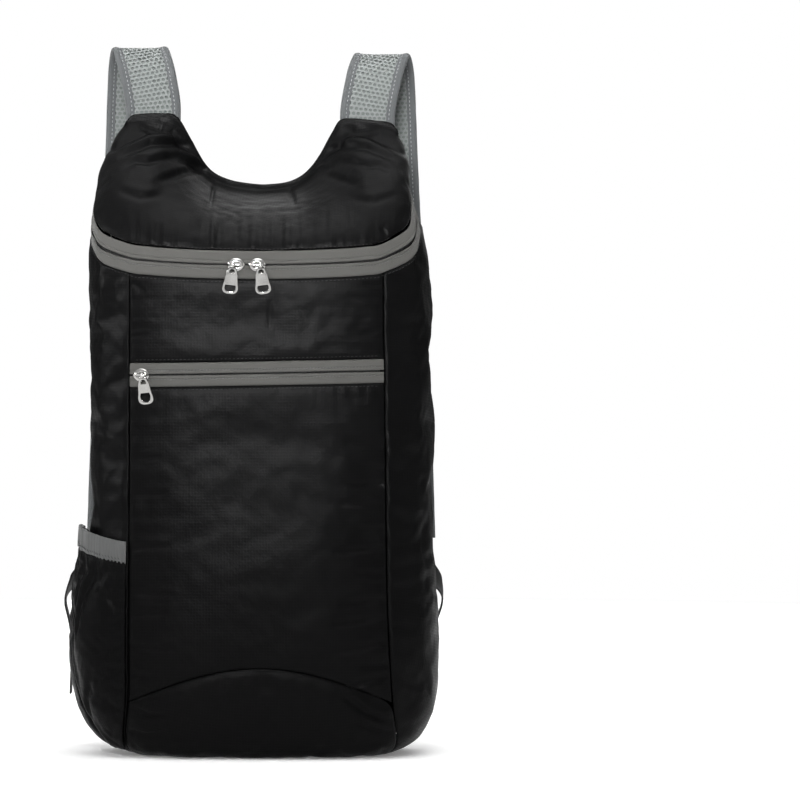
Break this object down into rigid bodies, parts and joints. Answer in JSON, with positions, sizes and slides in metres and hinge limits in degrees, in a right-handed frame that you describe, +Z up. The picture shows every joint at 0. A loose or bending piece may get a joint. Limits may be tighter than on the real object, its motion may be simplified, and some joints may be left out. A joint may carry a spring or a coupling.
{
  "type": "packable backpack",
  "caption": "Thin nylon daypack that stands filled, with a horned zipped lid, a zipped front pocket, an elastic side pocket and mesh shoulder straps.",
  "frame": {"origin": "middle of the flat that the bag stands on", "axes": "+Z up, the front faces -Y, the straps hang on the +Y side, the side pocket is at -X"},
  "size_m": [0.2764, 0.1663, 0.5089],
  "materials": {
    "nylon": "thin black ripstop nylon with a slight sheen",
    "zip_tape": "warm grey woven band",
    "zip_coil": "black coil",
    "edge_binding": "cool grey woven binding",
    "spacer_mesh": "light grey open net",
    "webbing": "black webbing",
    "plastic": "black moulded plastic",
    "nickel": "polished nickel"
  },
  "bodies": {
    "bag": {"lid_panel": "nylon", "back_panel": "nylon", "front_upper_panel": "nylon", "front_pocket_panel": "nylon", "base_panel": "nylon", "gusset_left": "nylon", "gusset_right": "nylon", "side_pocket": "nylon", "main_zip_tape_lower": "zip_tape", "main_zip_tape_upper": "zip_tape", "pocket_zip_tape_lower": "zip_tape", "pocket_zip_tape_upper": "zip_tape", "main_zip_coil": "zip_coil", "pocket_zip_coil": "zip_coil", "strap_binding_left_inner": "edge_binding", "strap_binding_left_outer": "edge_binding", "strap_binding_right_inner": "edge_binding", "strap_binding_right_outer": "edge_binding", "side_pocket_trim": "edge_binding", "strap_pad_left": "spacer_mesh", "strap_pad_right": "spacer_mesh", "webbing_left": "webbing", "webbing_right": "webbing", "anchor_loop_left": "webbing", "anchor_loop_right": "webbing", "ladder_lock_left": "plastic", "ladder_lock_right": "plastic", "main_slider_left": "nickel", "main_slider_right": "nickel", "pocket_slider": "nickel"},
    "main_pull_left": {"main_pull_left": "nickel"},
    "main_pull_right": {"main_pull_right": "nickel"},
    "pocket_pull": {"pocket_pull": "nickel"}
  },
  "joints": [
    {"name": "main_pull_left_swing", "type": "hinge", "parent": "bag", "child": "main_pull_left", "pos_m": [-0.01858, -0.05965, 0.35165], "axis": [-1, 0, 0], "range_deg": [0, 150]},
    {"name": "main_pull_right_swing", "type": "hinge", "parent": "bag", "child": "main_pull_right", "pos_m": [0.00087, -0.0597, 0.35147], "axis": [-1, 0, 0], "range_deg": [0, 150]},
    {"name": "pocket_pull_swing", "type": "hinge", "parent": "bag", "child": "pocket_pull", "pos_m": [-0.08297, -0.05769, 0.27316], "axis": [-0.9598, 0.2808, 0], "range_deg": [0, 150]}
  ]
}
